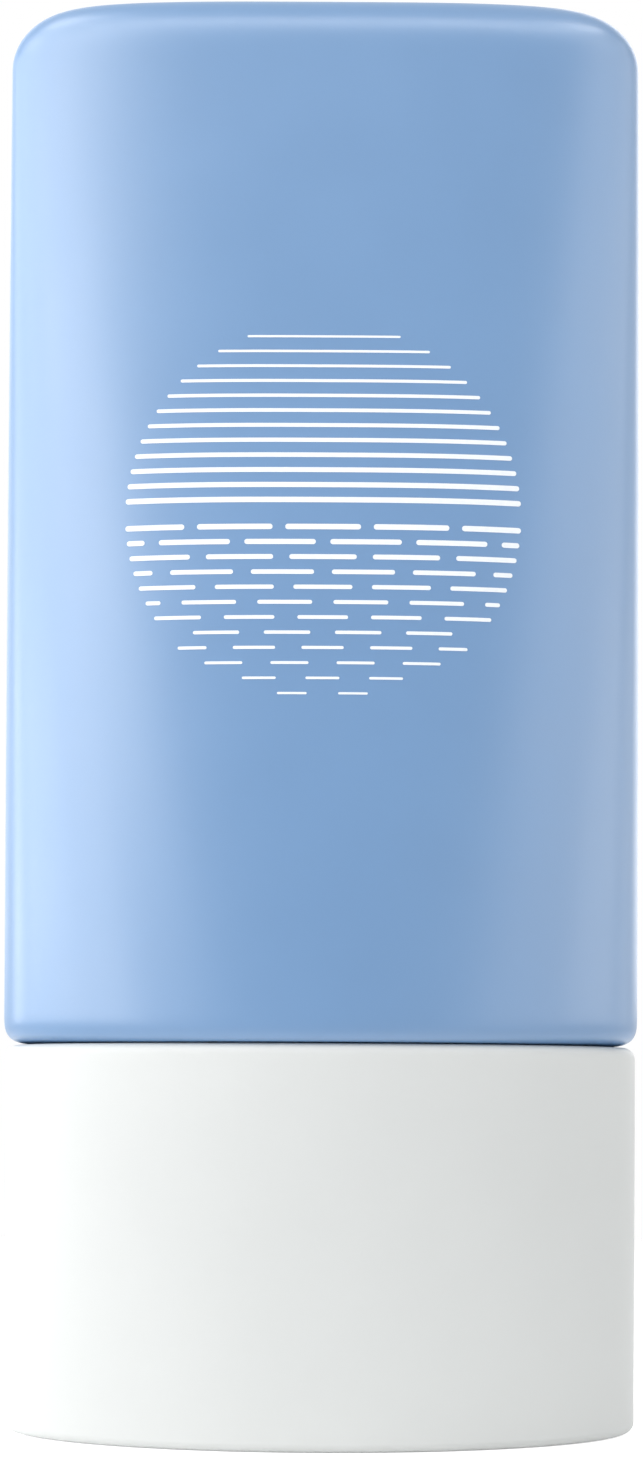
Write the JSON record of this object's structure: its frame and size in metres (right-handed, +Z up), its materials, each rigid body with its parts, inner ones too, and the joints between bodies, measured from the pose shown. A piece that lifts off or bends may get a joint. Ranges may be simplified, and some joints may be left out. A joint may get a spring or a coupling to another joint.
{
  "type": "sunscreen bottle",
  "caption": "Flat oval sunscreen bottle standing upside down on its oval screw cap, with a nozzle plug in its neck.",
  "frame": {"origin": "centre of the cap's flat closed end, which the bottle stands on", "axes": "+Z up along the neck, +X along the width, -Y the front"},
  "size_m": [0.0474, 0.0266, 0.1064],
  "materials": {
    "blue_body": "satin light blue, blow-moulded",
    "plug_plastic": "natural white, moulded",
    "lotion": "wet, off-white",
    "white_cap": "satin white",
    "insert_plastic": "satin white",
    "liner_foam": "matt white foam"
  },
  "bodies": {
    "cap": {"cap_shell": "white_cap", "cap_insert": "insert_plastic"},
    "liner": {"cap_liner": "liner_foam"},
    "bottle": {"bottle_shell": "blue_body", "nozzle_plug": "plug_plastic", "sunscreen_fill": "lotion"}
  },
  "joints": [
    {"name": "unscrew_turn", "type": "hinge", "parent": "cap", "child": "liner", "pos_m": [0, 0, 0.0132], "axis": [0, 0, 1], "range_deg": [0, 1800]},
    {"name": "thread_lift", "type": "slide", "parent": "liner", "child": "bottle", "axis": [0, 0, 1], "range_m": [0, 0.0151]}
  ],
  "couplings": [
    {"joint": "thread_lift", "follows": "unscrew_turn", "m_per_rad": 0.00047746}
  ]
}
